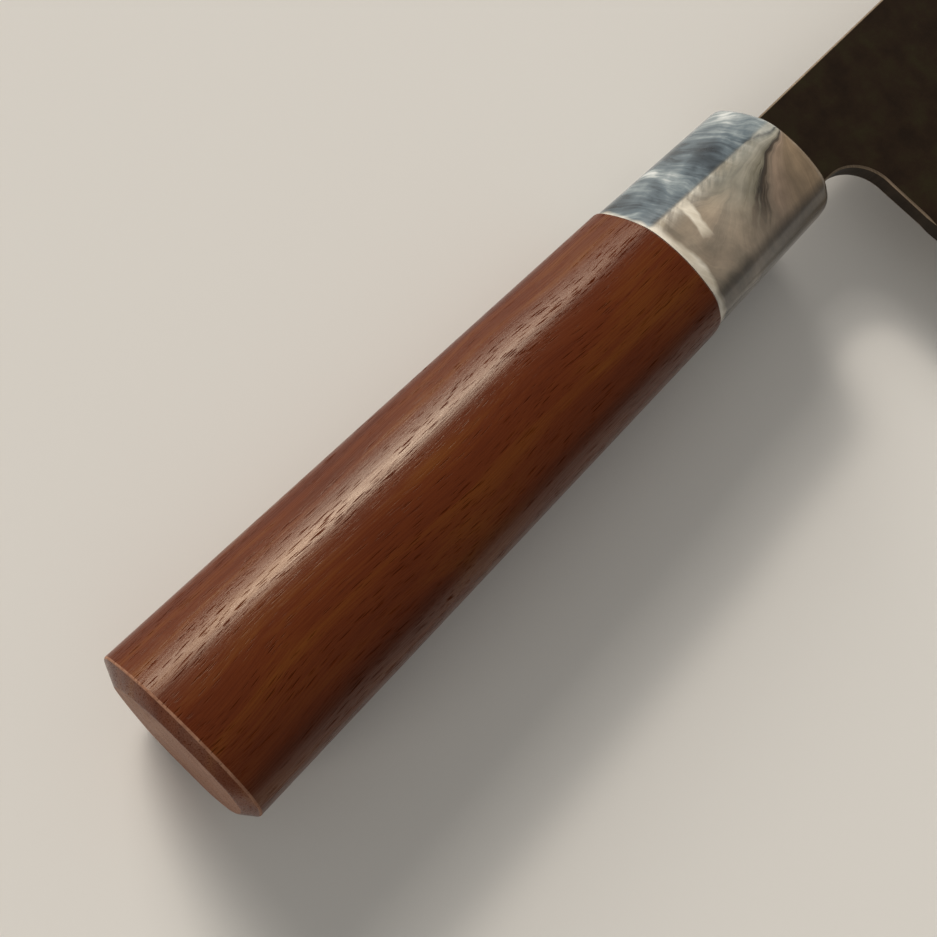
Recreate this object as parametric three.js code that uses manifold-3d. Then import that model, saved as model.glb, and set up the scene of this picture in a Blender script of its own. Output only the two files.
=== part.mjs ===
// Nakiri: a straight-edged vegetable knife with a three-layer blade and a hidden tang.
// Millimetres. The knife lies on its side with its right-hand face up: +X runs from butt to tip,
// +Y towards the spine and +Z up. The origin is under the middle of its outer box.
import * as THREE from 'three';
import { mergeVertices } from 'three/addons/utils/BufferGeometryUtils.js';
import Module from 'manifold-3d';

const wasm = await Module();
wasm.setup();

// Handle: lengths along the axis, heights towards the spine, thicknesses from side to side
const WOOD_LENGTH = 97;
const FERRULE_LENGTH = 30;
const BUTT_HEIGHT = 27.7;
const BUTT_THICKNESS = 23;
const JOINT_HEIGHT = 25.4;
const JOINT_THICKNESS = 21;
const FRONT_HEIGHT = 23.4;
const FRONT_THICKNESS = 19.3;
const BUTT_CHAMFER = 1.5;
const BUTT_SIDE_INSET = 1.5;
const BUTT_SPINE_INSET = 3.4;
const BUTT_EDGE_INSET = 2;
const JOINT_EASING = 0.4;
const FERRULE_STEP = 0.3;
const FERRULE_ROUNDING = 1.6;

// Octagon of the handle: its faces are crowned, and it is drawn in more towards the spine.
// A bevel's leg along the height is its rise, its leg along the thickness its run.
const SPINE_BEVEL_RISE = 7.2;
const BUTT_SPINE_BEVEL_RUN = 8.7;
const FRONT_SPINE_BEVEL_RUN = 7.6;
const EDGE_BEVEL_RISE = 3.7;
const BUTT_EDGE_BEVEL_RUN = 4.4;
const FRONT_EDGE_BEVEL_RUN = 3.8;
const FACE_CROWN_RADIUS = 20.5;
const ARRIS_SETBACK = 1.2;

// Inside of the handle: the dowel, the slot and what fills it
const BUTT_WALL = 24;
const FERRULE_WALL = 4;
const DOWEL_DIAMETER = 14;
const DOWEL_END_WALL = 8;
const ADHESIVE_WALL = 0.4;
const SEAL_WALL = 0.5;
const SEAL_DEPTH = 2.6;
const FIT_GAP = 0.3;

// Tang and neck
const TANG_END_HEIGHT = 6;
const TANG_END_THICKNESS = 2.2;
const TANG_ROOT_HEIGHT = 9;
const SHOULDER_DEPTH = 3;
const NECK_HEIGHT = 14.8;
const NECK_LENGTH = 14.4;
const SPINE_RISE = 6.3;

// Blade
const EDGE_LENGTH = 165;
const HEEL_HEIGHT = 50;
const CHOIL_RADIUS = 8;
const HEEL_LEAN = 2.2;
const HEEL_ROUNDING = 1.2;
const EDGE_SWEEP_LENGTH = 45;
const EDGE_SWEEP_RISE = 2.2;
const TIP_LEAN = 4;
const TIP_TOE_ROUNDING = 2;
const TIP_CORNER_RADIUS = 16;

// Grind: how thick each part of the blade is
const SPINE_THICKNESS = 3.4;
const TIP_SPINE_THICKNESS = 2.4;
const FLAT_HEIGHT = 33;
const FLAT_TAPER = 0.6;
const EDGE_THICKNESS = 0.24;
const CORE_THICKNESS = 0.9;

// Fineness of curves
const FACE_STEPS = 4;
const ARRIS_STEPS = 4;
const ARRIS_LIMIT = 0.45;
const ROUNDING_STEPS = 5;
const OUTLINE_STEPS = 14;
const DOWEL_SIDES = 40;

// How far a cutting shape reaches past what it cuts
const OVERCUT = 2;

// Places along the axis, from the butt
const ferruleFront = WOOD_LENGTH + FERRULE_LENGTH;
const boreEnd = ferruleFront - FERRULE_WALL;
const shoulder = ferruleFront - SHOULDER_DEPTH;
const tangEnd = BUTT_WALL + DOWEL_END_WALL;
const heel = ferruleFront + NECK_LENGTH;
const tip = heel + EDGE_LENGTH;

// Places across the axis
const neckUnderside = SPINE_RISE - NECK_HEIGHT;
const edge = SPINE_RISE - HEEL_HEIGHT;
const shinogi = SPINE_RISE - FLAT_HEIGHT;

// Allowance round the tang and the neck for what fills the slot, with a gap on each side of it
const dowelSlotAllowance = ADHESIVE_WALL + 2 * FIT_GAP;
const ferruleSlotAllowance = SEAL_WALL + 2 * FIT_GAP;

const lerp = THREE.MathUtils.lerp;

// Closed solid from a geometry whose shared vertices are merged
function solidFrom(geometry) {
  const bare = geometry.clone();
  bare.deleteAttribute('normal');
  bare.deleteAttribute('uv');
  const merged = mergeVertices(bare, 1e-5);
  const mesh = new wasm.Mesh({
    numProp: 3,
    vertProperties: Float32Array.from(merged.attributes.position.array),
    triVerts: Uint32Array.from(merged.index.array),
  });
  return new wasm.Manifold(mesh);
}

// Geometry of a solid
function geometryFrom(solid) {
  const mesh = solid.getMesh();
  const geometry = new THREE.BufferGeometry();
  geometry.setAttribute('position', new THREE.BufferAttribute(Float32Array.from(mesh.vertProperties), 3));
  geometry.setIndex(new THREE.BufferAttribute(Uint32Array.from(mesh.triVerts), 1));
  return geometry;
}

// Solid skinned over rings of equal count that follow each other along +X,
// each counter-clockwise as seen from the tip
function loft(rings) {
  const count = rings[0].length;
  const last = (rings.length - 1) * count;
  const positions = rings.flat().flatMap((point) => point.toArray());
  const triangles = [];
  for (let ring = 0; ring + 1 < rings.length; ring += 1) {
    for (let i = 0; i < count; i += 1) {
      const a = ring * count + i;
      const b = ring * count + ((i + 1) % count);
      triangles.push(a, b, a + count, b, b + count, a + count);
    }
  }
  const cap = rings[0].map((point) => new THREE.Vector2(point.y, point.z));
  for (const [a, b, c] of THREE.ShapeUtils.triangulateShape(cap, [])) {
    triangles.push(a, c, b, last + a, last + b, last + c);
  }
  const geometry = new THREE.BufferGeometry();
  geometry.setAttribute('position', new THREE.Float32BufferAttribute(positions, 3));
  geometry.setIndex(triangles);
  return solidFrom(geometry);
}

// How far an arc of the crown's radius rises over a chord
function crownRise(chord) {
  return chord ** 2 / (8 * FACE_CROWN_RADIUS);
}

// Crowned face from one corner of the octagon to the next
function crownedFace(start, end) {
  const chord = end.clone().sub(start);
  const outward = new THREE.Vector2(chord.y, -chord.x).normalize();
  const middle = start.clone().add(end).divideScalar(2);
  const crest = middle.addScaledVector(outward, 2 * crownRise(chord.length()));
  return new THREE.QuadraticBezierCurve(start, crest, end);
}

// Corners of the octagon at x, drawn in by inset on every side, counter-clockwise as seen from the tip
function octagonCorners(x, height, thickness, inset) {
  const share = x / ferruleFront;
  const legLoss = inset * (2 - Math.SQRT2);
  const spineRun = lerp(BUTT_SPINE_BEVEL_RUN, FRONT_SPINE_BEVEL_RUN, share) - legLoss;
  const edgeRun = lerp(BUTT_EDGE_BEVEL_RUN, FRONT_EDGE_BEVEL_RUN, share) - legLoss;
  const spineRise = SPINE_BEVEL_RISE - legLoss;
  const edgeRise = EDGE_BEVEL_RISE - legLoss;
  const reach = height / 2 - inset;
  const side = thickness / 2 - inset;
  const sideCorner = side - crownRise(2 * reach - spineRise - edgeRise);
  const right = [
    [reach - crownRise(2 * (side - spineRun)), side - spineRun],
    [reach - spineRise, sideCorner],
    [-reach + edgeRise, sideCorner],
    [-reach + crownRise(2 * (side - edgeRun)), side - edgeRun],
  ];
  const left = right.map(([y, z]) => [y, -z]).reverse();
  return [...right, ...left].map(([y, z]) => new THREE.Vector2(y, z));
}

// Ring round the handle at x: eight crowned faces with a rounded arris between each two.
// An arris takes its setback from each face, or less where a face is too narrow for it.
function octagonRing(x, height, thickness, inset = 0) {
  const corners = octagonCorners(x, height, thickness, inset);
  const faces = corners.map((corner, i) => crownedFace(corner, corners[(i + 1) % corners.length]));
  const setbacks = faces.map((face) => Math.min(ARRIS_LIMIT, ARRIS_SETBACK / face.getLength()));
  const points = faces.flatMap((face, i) => {
    const next = (i + 1) % faces.length;
    const faceEnd = face.getPoint(1 - setbacks[i]);
    const arris = new THREE.QuadraticBezierCurve(faceEnd, face.v2, faces[next].getPoint(setbacks[next]));
    const crown = Array.from({ length: FACE_STEPS }, (_, step) => (
      face.getPoint(lerp(setbacks[i], 1 - setbacks[i], step / FACE_STEPS))
    ));
    const rounding = Array.from({ length: ARRIS_STEPS }, (_, step) => arris.getPoint(step / ARRIS_STEPS));
    return [...crown, ...rounding];
  });
  return points.map((point) => new THREE.Vector3(x, point.x, point.y));
}

// Rectangle across the axis at x
function rectangleRing(x, height, thickness) {
  const y = height / 2;
  const z = thickness / 2;
  return [[y, -z], [y, z], [-y, z], [-y, -z]].map((corner) => new THREE.Vector3(x, ...corner));
}

// Round bar along the axis from start to end
function roundBar(start, end, diameter) {
  const bar = new THREE.CylinderGeometry(diameter / 2, diameter / 2, end - start, DOWEL_SIDES);
  bar.rotateZ(-Math.PI / 2);
  bar.translate((start + end) / 2, 0, 0);
  return solidFrom(bar);
}

// Plate of the given outline that lies between two heights
function plate(outline, low, high) {
  const geometry = new THREE.ExtrudeGeometry(outline, {
    depth: high - low,
    bevelEnabled: false,
    curveSegments: OUTLINE_STEPS,
  });
  geometry.translate(0, 0, low);
  return solidFrom(geometry);
}

// Block between two corners
function block(low, high) {
  const size = high.clone().sub(low);
  const centre = low.clone().add(high).divideScalar(2);
  const box = new THREE.BoxGeometry(size.x, size.y, size.z);
  box.translate(centre.x, centre.y, centre.z);
  return solidFrom(box);
}

// Space of the tang inside the handle, grown by allowance on every side
function tangSpace(allowance, start, end) {
  const ring = (x) => {
    const share = (x - tangEnd) / (shoulder - tangEnd);
    const height = lerp(TANG_END_HEIGHT, TANG_ROOT_HEIGHT, share) + 2 * allowance;
    const thickness = lerp(TANG_END_THICKNESS, SPINE_THICKNESS, share) + 2 * allowance;
    return rectangleRing(x, height, thickness);
  };
  return loft([ring(start), ring(end)]);
}

// Space of the neck in the ferrule's slot, grown by allowance on every side
function neckSpace(allowance, start, end) {
  const side = SPINE_THICKNESS / 2 + allowance;
  const low = new THREE.Vector3(start, neckUnderside - allowance, -side);
  const high = new THREE.Vector3(end, SPINE_RISE + allowance, side);
  return block(low, high);
}

// Flat end of the butt inside its chamfer, which is widest towards the spine
function buttEnd() {
  const height = BUTT_HEIGHT - BUTT_SPINE_INSET - BUTT_EDGE_INSET;
  const centre = new THREE.Vector3(0, (BUTT_EDGE_INSET - BUTT_SPINE_INSET) / 2, 0);
  return octagonRing(0, height, BUTT_THICKNESS - 2 * BUTT_SIDE_INSET).map((point) => point.add(centre));
}

// Wooden handle: tapered octagon with a chamfered butt and a blind bore for the dowel
function handleBody() {
  const ring = (x, inset) => {
    const share = (x - BUTT_CHAMFER) / (WOOD_LENGTH - BUTT_CHAMFER);
    const height = lerp(BUTT_HEIGHT, JOINT_HEIGHT, share);
    const thickness = lerp(BUTT_THICKNESS, JOINT_THICKNESS, share);
    return octagonRing(x, height, thickness, inset);
  };
  const body = loft([
    buttEnd(),
    ring(BUTT_CHAMFER, 0),
    ring(WOOD_LENGTH - JOINT_EASING, 0),
    ring(WOOD_LENGTH, JOINT_EASING),
  ]);
  return body.subtract(roundBar(BUTT_WALL, WOOD_LENGTH + OVERCUT, DOWEL_DIAMETER + 2 * FIT_GAP));
}

// Resin ferrule: the octagon carried on, a rounded front edge, a bore and the slot for the neck
function ferrule() {
  const ring = (x, inset) => {
    const share = (x - WOOD_LENGTH) / FERRULE_LENGTH;
    const height = lerp(JOINT_HEIGHT - 2 * FERRULE_STEP, FRONT_HEIGHT, share);
    const thickness = lerp(JOINT_THICKNESS - 2 * FERRULE_STEP, FRONT_THICKNESS, share);
    return octagonRing(x, height, thickness, inset);
  };
  const rounding = Array.from({ length: ROUNDING_STEPS + 1 }, (_, step) => {
    const angle = (step / ROUNDING_STEPS) * (Math.PI / 2);
    const reach = FERRULE_ROUNDING * (1 - Math.sin(angle));
    return ring(ferruleFront - reach, FERRULE_ROUNDING * (1 - Math.cos(angle)));
  });
  const bore = roundBar(WOOD_LENGTH - OVERCUT, boreEnd, DOWEL_DIAMETER + 2 * FIT_GAP);
  const slot = neckSpace(ferruleSlotAllowance, boreEnd - FIT_GAP, ferruleFront + OVERCUT);
  return loft([ring(WOOD_LENGTH, 0), ...rounding]).subtract(bore).subtract(slot);
}

// Dowel glued into both, slotted for the tang
function tangDowel() {
  const slot = tangSpace(dowelSlotAllowance, tangEnd - dowelSlotAllowance, ferruleFront);
  return roundBar(BUTT_WALL + FIT_GAP, boreEnd - FIT_GAP, DOWEL_DIAMETER).subtract(slot);
}

// Resin sleeve round the tang in the dowel's slot
function tangAdhesive() {
  const outside = FIT_GAP + ADHESIVE_WALL;
  const sleeve = tangSpace(outside, tangEnd - outside, boreEnd - FIT_GAP);
  return sleeve.subtract(tangSpace(FIT_GAP, tangEnd - FIT_GAP, ferruleFront));
}

// Seal round the neck in the ferrule's slot
function slotSeal() {
  const ring = neckSpace(FIT_GAP + SEAL_WALL, ferruleFront - SEAL_DEPTH, ferruleFront);
  return ring.subtract(neckSpace(FIT_GAP, shoulder - OVERCUT, ferruleFront + OVERCUT));
}

// Side view of the blade, its neck and its tang
function bladeOutline() {
  const heelFoot = heel + HEEL_LEAN;
  const sweepStart = tip - EDGE_SWEEP_LENGTH;
  const toe = edge + EDGE_SWEEP_RISE;
  const tipTop = tip - TIP_LEAN;
  const outline = new THREE.Shape();
  outline.moveTo(tangEnd, -TANG_END_HEIGHT / 2);
  outline.lineTo(shoulder, -TANG_ROOT_HEIGHT / 2);
  outline.lineTo(shoulder, neckUnderside);
  outline.lineTo(heel - CHOIL_RADIUS, neckUnderside);
  outline.absarc(heel - CHOIL_RADIUS, neckUnderside - CHOIL_RADIUS, CHOIL_RADIUS, Math.PI / 2, 0, true);
  outline.lineTo(heelFoot, edge + HEEL_ROUNDING);
  outline.quadraticCurveTo(heelFoot, edge, heelFoot + HEEL_ROUNDING, edge);
  outline.lineTo(sweepStart, edge);
  outline.quadraticCurveTo((sweepStart + tip) / 2, edge, tip - TIP_TOE_ROUNDING, toe);
  outline.quadraticCurveTo(tip, toe, tip, toe + TIP_TOE_ROUNDING);
  outline.lineTo(tipTop, SPINE_RISE - TIP_CORNER_RADIUS);
  outline.quadraticCurveTo(tipTop, SPINE_RISE, tipTop - TIP_CORNER_RADIUS, SPINE_RISE);
  outline.lineTo(shoulder, SPINE_RISE);
  outline.lineTo(shoulder, TANG_ROOT_HEIGHT / 2);
  outline.lineTo(tangEnd, TANG_END_HEIGHT / 2);
  outline.closePath();
  return outline;
}

// Wedge that gives the blade its thickness: flats above the shinogi line, bevels below it
function grind() {
  const section = (x, spine, flatTaper) => {
    const slope = flatTaper / 2 / FLAT_HEIGHT;
    const thin = EDGE_THICKNESS / 2;
    const right = [
      [SPINE_RISE + OVERCUT, spine / 2 + slope * OVERCUT],
      [shinogi, spine / 2 - slope * FLAT_HEIGHT],
      [edge, thin],
      [edge - OVERCUT, thin],
    ];
    const left = right.map(([y, z]) => [y, -z]).reverse();
    return [...right, ...left].map(([y, z]) => new THREE.Vector3(x, y, z));
  };
  return loft([
    section(tangEnd, TANG_END_THICKNESS, 0),
    section(shoulder, SPINE_THICKNESS, 0),
    section(ferruleFront, SPINE_THICKNESS, 0),
    section(heel, SPINE_THICKNESS, FLAT_TAPER),
    section(tip, TIP_SPINE_THICKNESS, FLAT_TAPER),
  ]);
}

// The three layers of the blade, parted by the two faces of the core
function bladeLayers() {
  const outline = bladeOutline();
  const ground = grind();
  const core = CORE_THICKNESS / 2;
  const outside = SPINE_THICKNESS;
  return {
    blade_core: plate(outline, -core, core).intersect(ground),
    cladding_right: plate(outline, core, outside).intersect(ground),
    cladding_left: plate(outline, -outside, -core).intersect(ground),
  };
}

const finishes = {
  wood: new THREE.MeshStandardMaterial({ color: '#6b3a22', roughness: 0.45, metalness: 0 }),
  resin: new THREE.MeshStandardMaterial({ color: '#b5aca0', roughness: 0.2, metalness: 0 }),
  forgeFinish: new THREE.MeshStandardMaterial({ color: '#3b342b', roughness: 0.55, metalness: 0.8 }),
  coreSteel: new THREE.MeshStandardMaterial({ color: '#a9a69f', roughness: 0.3, metalness: 1 }),
  dowelWood: new THREE.MeshStandardMaterial({ color: '#c7a377', roughness: 0.7, metalness: 0 }),
  adhesive: new THREE.MeshStandardMaterial({ color: '#c9b27a', roughness: 0.3, metalness: 0 }),
  seal: new THREE.MeshStandardMaterial({ color: '#2b2622', roughness: 0.5, metalness: 0 }),
};

const layers = bladeLayers();
const pieces = [
  ['handle_body', handleBody(), finishes.wood],
  ['ferrule', ferrule(), finishes.resin],
  ['tang_dowel', tangDowel(), finishes.dowelWood],
  ['tang_adhesive', tangAdhesive(), finishes.adhesive],
  ['slot_seal', slotSeal(), finishes.seal],
  ['blade_core', layers.blade_core, finishes.coreSteel],
  ['cladding_right', layers.cladding_right, finishes.forgeFinish],
  ['cladding_left', layers.cladding_left, finishes.forgeFinish],
];

const knife = new THREE.Group();
for (const [name, solid, material] of pieces) {
  const mesh = new THREE.Mesh(geometryFrom(solid), material);
  mesh.name = name;
  knife.add(mesh);
}

// Lay the knife on its side with the middle of its outer box over the origin
const highest = Math.max(BUTT_HEIGHT / 2, SPINE_RISE);
knife.position.set(-tip / 2, -(highest + edge) / 2, BUTT_THICKNESS / 2);

export default knife;
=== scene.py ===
"""Looks of a nakiri knife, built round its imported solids.

Sizes are in millimetres on the handle's own axes: X runs from the butt to the tip, Y towards the
spine, Z up out of the right-hand face, and the origin is on the handle's axis at the butt. A mesh
gets its place in the frame of the solids, in metres, when its points are made.
"""
import logging
import math
from dataclasses import dataclass, field
from enum import Enum, IntEnum
from typing import Any, Callable, Sequence

import bmesh
import bpy
from bmesh.types import BMEdge, BMesh, BMFace, BMVert
from bpy.types import Material, Node, NodeSocket, NodeTree, Object
from mathutils import Matrix, Vector


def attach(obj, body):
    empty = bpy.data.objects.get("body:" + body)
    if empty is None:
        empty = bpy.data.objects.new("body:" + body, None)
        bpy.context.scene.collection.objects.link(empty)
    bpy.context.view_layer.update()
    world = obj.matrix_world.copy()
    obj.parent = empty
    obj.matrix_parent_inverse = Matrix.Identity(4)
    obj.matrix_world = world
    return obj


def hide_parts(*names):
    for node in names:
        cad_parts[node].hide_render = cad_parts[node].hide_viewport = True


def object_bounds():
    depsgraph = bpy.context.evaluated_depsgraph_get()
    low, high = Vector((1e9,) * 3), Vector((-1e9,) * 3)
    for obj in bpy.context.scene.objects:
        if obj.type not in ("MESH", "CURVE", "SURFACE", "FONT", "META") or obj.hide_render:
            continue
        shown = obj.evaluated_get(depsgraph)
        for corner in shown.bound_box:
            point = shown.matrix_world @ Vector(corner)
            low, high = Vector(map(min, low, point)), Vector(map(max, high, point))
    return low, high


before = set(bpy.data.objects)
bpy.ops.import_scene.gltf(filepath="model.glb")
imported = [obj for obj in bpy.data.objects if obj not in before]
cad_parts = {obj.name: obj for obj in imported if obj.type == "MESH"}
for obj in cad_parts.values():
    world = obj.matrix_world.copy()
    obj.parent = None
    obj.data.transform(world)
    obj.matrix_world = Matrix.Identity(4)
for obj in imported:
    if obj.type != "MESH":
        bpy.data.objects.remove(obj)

CAD_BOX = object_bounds()
BODY = "root"
MM = 0.001
HANDLE_ORIGIN = Vector((-153.2, 14.925, 11.5))
SHARP_ANGLE = math.radians(32)
RIM_ANGLE = math.radians(60)
# Greatest distance of a point that counts as lying on a plane, in millimetres
NEAR = 0.02
# Least share of Z in the normal of a layer's broad faces
BROAD = 0.9
# Greatest share of Y in the normal of the honed edge
HONED = -0.5
# Values between which a noise pattern mostly stays
NOISE_RANGE = 0.32, 0.68

log = logging.getLogger("nakiri")

Ring = list[BMVert]
Point = tuple[float, float]
Planar = Point | Vector
Size = tuple[float, float, float]
Height = Callable[[float, float], float]
Stops = tuple[tuple[float, str | float], ...]
Source = Node | NodeSocket
Settings = dict[str | int, Any]
Links = dict[str | int, Source]


def place(x: float, y: float, z: float) -> Vector:
    """Turns a point on the handle's axes into metres in the frame of the solids."""
    return (Vector((x, y, z)) + HANDLE_ORIGIN) * MM


def lerp(start: float, end: float, share: float) -> float:
    """Value that lies the given share of the way from start to end."""
    return start + (end - start) * share


def linear(colour: str) -> tuple[float, float, float, float]:
    """Turns an sRGB hex colour into linear red, green, blue and full opacity.

    Args:
        colour: Six hex digits after a hash sign.

    Returns:
        The colour as Blender's sockets take it.
    """
    parts = [int(colour[i:i + 2], 16) / 255 for i in (1, 3, 5)]
    red, green, blue = (p / 12.92 if p <= 0.04045 else ((p + 0.055) / 1.055) ** 2.4 for p in parts)
    return red, green, blue, 1.0


class Kind(str, Enum):
    """Kinds of shader node used by the finishes."""

    OUTPUT = "ShaderNodeOutputMaterial"
    SHADER = "ShaderNodeBsdfPrincipled"
    COORDINATES = "ShaderNodeTexCoord"
    MAPPING = "ShaderNodeMapping"
    NOISE = "ShaderNodeTexNoise"
    VORONOI = "ShaderNodeTexVoronoi"
    RAMP = "ShaderNodeValToRGB"
    RANGE = "ShaderNodeMapRange"
    MATH = "ShaderNodeMath"
    VECTOR = "ShaderNodeVectorMath"
    SPLIT = "ShaderNodeSeparateXYZ"
    JOIN = "ShaderNodeCombineXYZ"
    MIX = "ShaderNodeMix"
    BUMP = "ShaderNodeBump"


# Sockets of a Mix node that blends colours
MIX_SHARE, MIX_FIRST, MIX_SECOND, MIX_RESULT = 0, 6, 7, 2


def add_node(
    tree: NodeTree, kind: Kind, settings: Settings | None = None, links: Links | None = None
) -> Node:
    """Adds a node with its settings and links.

    Args:
        tree: Node tree that gets the node.
        kind: Kind of the node.
        settings: Values by socket or property. "stops" holds a ramp's places, each with its hex
            colour or its plain value.
        links: What feeds each input: a socket, or a node whose first output is meant.

    Returns:
        The new node.
    """
    node = tree.nodes.new(kind.value)
    for key, value in (settings or {}).items():
        if key == "stops":
            while len(node.color_ramp.elements) < len(value):
                node.color_ramp.elements.new(1.0)
            for element, (position, colour) in zip(node.color_ramp.elements, value):
                element.position = position
                plain = not isinstance(colour, str)
                element.color = (colour, colour, colour, 1.0) if plain else linear(colour)
        elif isinstance(key, int) or key in node.inputs:
            node.inputs[key].default_value = value
        else:
            setattr(node, key, value)
    for key, source in (links or {}).items():
        output = source.outputs[0] if isinstance(source, Node) else source
        tree.links.new(output, node.inputs[key])
    return node


def limits(start: float, end: float, first: float = 0.0, last: float = 1.0) -> Settings:
    """Settings that lead from first to last while a value goes from start to end."""
    return {"From Min": start, "From Max": end, "To Min": first, "To Max": last}


def two_tone(dark: str, light: str) -> Stops:
    """Stops of a ramp between two colours of a noise pattern."""
    return (0.35, dark), (0.65, light)


@dataclass(frozen=True)
class Finish:
    """What one surface is made of and how it was finished."""

    name: str

    def material(self) -> Material:
        """Makes the finish's material.

        Returns:
            The material.
        """
        made = bpy.data.materials.new(self.name)
        made.use_nodes = True
        tree = made.node_tree
        tree.nodes.clear()
        shader = add_node(tree, Kind.SHADER, *self.dress(tree))
        add_node(tree, Kind.OUTPUT, links={"Surface": shader})
        return made

    def dress(self, tree: NodeTree) -> tuple[Settings, Links]:
        """Adds the nodes of the finish's pattern.

        Args:
            tree: Node tree of the material.

        Returns:
            What the shader's sockets are set to, and what feeds those that a pattern drives.
        """
        raise NotImplementedError

    @staticmethod
    def millimetres(tree: NodeTree) -> Source:
        """Adds coordinates in millimetres on the handle's axes.

        Args:
            tree: Node tree of the material.

        Returns:
            The source of the coordinates.
        """
        source = add_node(tree, Kind.COORDINATES).outputs["Object"]
        settings: Settings = {"Scale": (1 / MM,) * 3, "Location": -HANDLE_ORIGIN}
        return add_node(tree, Kind.MAPPING, settings, {"Vector": source})

    @staticmethod
    def stretched(tree: NodeTree, source: Source, size: Size, turn: float = 0.0) -> Source:
        """Adds coordinates in which one cell of a pattern has the given size.

        Args:
            tree: Node tree of the material.
            source: Coordinates in millimetres.
            size: Size of a cell on each axis, in millimetres.
            turn: How far the cells are turned about the Z axis, in radians.

        Returns:
            The source of the coordinates.
        """
        settings: Settings = {"vector_type": "TEXTURE", "Rotation": (0.0, 0.0, turn), "Scale": size}
        return add_node(tree, Kind.MAPPING, settings, {"Vector": source})

    @staticmethod
    def summed(tree: NodeTree, base: float, *parts: tuple[Source, float]) -> Source:
        """Adds weighted patterns to a plain value.

        Args:
            tree: Node tree of the material.
            base: The plain value.
            parts: Each pattern with its weight.

        Returns:
            The source of the sum.
        """
        links: Links = {}
        for pattern, weight in parts:
            settings: Settings = {"operation": "MULTIPLY_ADD", 1: weight, 2: base}
            links = {2: add_node(tree, Kind.MATH, settings, {**links, 0: pattern})}
        return links[2]

    @staticmethod
    def shaded(tree: NodeTree, colour: Source, pattern: Source, low: float, high: float) -> Source:
        """Darkens and lightens a colour by a pattern.

        Args:
            tree: Node tree of the material.
            colour: Colour to shade.
            pattern: Noise that does it.
            low: What the colour is multiplied by in the noise's hollows.
            high: What it is multiplied by on the noise's crests.

        Returns:
            The source of the shaded colour.
        """
        gain = add_node(tree, Kind.RANGE, limits(*NOISE_RANGE, low, high), {"Value": pattern})
        return add_node(tree, Kind.VECTOR, {"operation": "SCALE"}, {0: colour, "Scale": gain})

    @staticmethod
    def layered(
        tree: NodeTree, colour: Source, *layers: tuple[Source | str, Source]
    ) -> Source:
        """Lays colours over one another.

        Args:
            tree: Node tree of the material.
            colour: Colour at the bottom.
            layers: Each further colour, or its hex value, with how much of it shows.

        Returns:
            The source of the result.
        """
        for over, share in layers:
            settings: Settings = {"data_type": "RGBA"}
            links: Links = {MIX_SHARE: share, MIX_FIRST: colour}
            if isinstance(over, str):
                settings[MIX_SECOND] = linear(over)
            else:
                links[MIX_SECOND] = over
            colour = add_node(tree, Kind.MIX, settings, links).outputs[MIX_RESULT]
        return colour


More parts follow.
